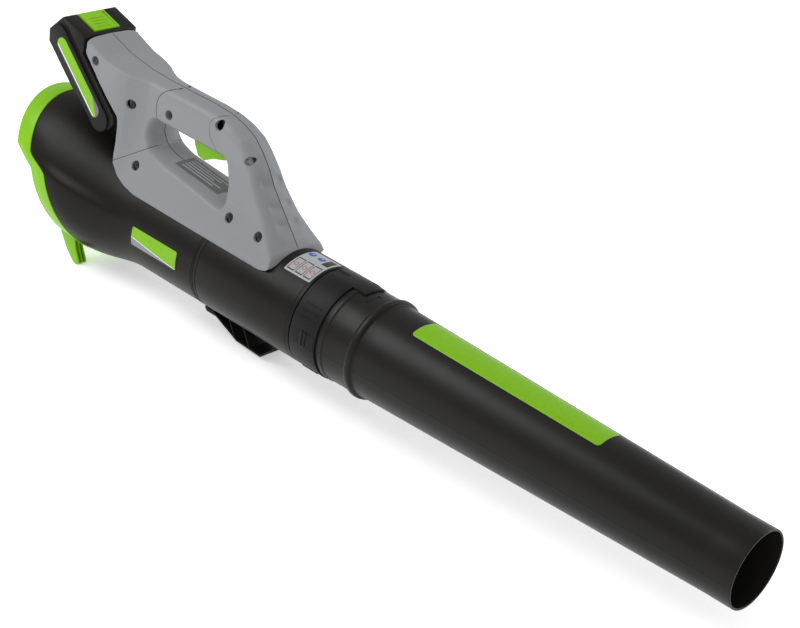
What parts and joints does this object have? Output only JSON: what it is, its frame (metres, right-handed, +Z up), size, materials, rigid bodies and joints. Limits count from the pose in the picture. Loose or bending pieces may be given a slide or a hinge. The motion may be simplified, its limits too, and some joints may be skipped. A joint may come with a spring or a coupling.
{
  "type": "leaf blower",
  "caption": "Handheld cordless axial leaf blower with a long round tapered blow tube, loop handle with trigger, slanted intake and slide-on battery pack.",
  "frame": {"origin": "centre of the blow tube's mouth, on the duct's axis", "axes": "+X out of the blow tube along the duct's axis, +Z up through the handle, +Y to the user's left"},
  "size_m": [0.8979, 0.1418, 0.2447],
  "materials": {
    "housing_black": "semi-gloss moulded plastic, finely grained",
    "soft_black": "satin moulded plastic",
    "handle_grey": "satin moulded plastic, finely grained",
    "lime_plastic": "smooth moulded plastic",
    "label_green": "printed film",
    "label_white": "printed film",
    "label_dark": "printed film",
    "seal_rubber": "matte rubber",
    "steel": "bright steel",
    "screw_black": "blackened steel",
    "copper": "enamelled copper wire",
    "magnet": "nickel-plated magnets on a steel core",
    "wire": "silicone insulation",
    "board": "fibreglass board",
    "contact": "bare brass",
    "cell": "shrink wrap over a steel can"
  },
  "bodies": {
    "housing": {"joint_seal": "seal_rubber", "front_housing": "housing_black", "rear_housing": "housing_black", "split_seal": "seal_rubber", "vent_scoop": "housing_black", "housing_clip": "soft_black", "intake_ring": "lime_plastic", "intake_grille": "soft_black", "stator": "soft_black", "tail_cone": "soft_black", "motor_mounts": "seal_rubber", "motor_can": "steel", "motor_windings": "copper", "bearings": "steel", "motor_leads": "wire", "handle_right": "handle_grey", "handle_left": "handle_grey", "handle_screws": "screw_black", "trigger_pin": "steel", "trigger_spring": "steel", "switch_body": "soft_black", "controller": "board", "battery_dock": "soft_black", "terminals": "contact", "supply_leads": "wire", "body_label": "label_green", "safety_label": "label_white", "rating_label": "label_dark"},
    "tube": {"blow_tube": "housing_black", "locking_collar": "soft_black", "tube_label": "label_green"},
    "release": {"release_button": "soft_black"},
    "rotor": {"fan": "soft_black", "fan_nut": "steel", "motor_shaft": "steel", "rotor_core": "magnet"},
    "trigger_lever": {"trigger": "lime_plastic"},
    "plunger": {"switch_plunger": "soft_black"},
    "battery": {"pack_case": "soft_black", "pack_cover": "housing_black", "pack_cells": "cell", "cell_straps": "contact", "pack_board": "board", "pack_contacts": "contact", "latch_springs": "steel", "pack_badges": "lime_plastic"},
    "latch": {"latch_button": "lime_plastic"}
  },
  "joints": [
    {"name": "fan_spin", "type": "hinge", "parent": "housing", "child": "rotor", "pos_m": [-0.7, 0, 0], "axis": [1, 0, 0], "continuous": true},
    {"name": "trigger_pull", "type": "hinge", "parent": "housing", "child": "trigger_lever", "pos_m": [-0.632, 0, 0.117], "axis": [0, 1, 0], "range_deg": [0, 7], "stiffness_Nm_per_rad": 1.5, "springref_deg": -11.46},
    {"name": "switch_press", "type": "slide", "parent": "housing", "child": "plunger", "axis": [0, 0, 1], "range_m": [0, 0.0056]},
    {"name": "pack_slide", "type": "slide", "parent": "housing", "child": "battery", "axis": [-0.7431, 0, 0.6691], "range_m": [0, 0.11]},
    {"name": "latch_press", "type": "slide", "parent": "battery", "child": "latch", "axis": [-0.2823, 0, -0.9593], "range_m": [0, 0.0025], "stiffness_N_per_m": 400, "springref_m": -0.004},
    {"name": "tube_slide", "type": "slide", "parent": "housing", "child": "tube", "axis": [1, 0, 0], "range_m": [0, 0.06]},
    {"name": "release_press", "type": "slide", "parent": "tube", "child": "release", "axis": [0, 1, 0], "range_m": [0, 0.002], "stiffness_N_per_m": 500, "springref_m": -0.002}
  ],
  "couplings": [
    {"joint": "switch_press", "follows": "trigger_pull", "m_per_rad": 0.043}
  ]
}
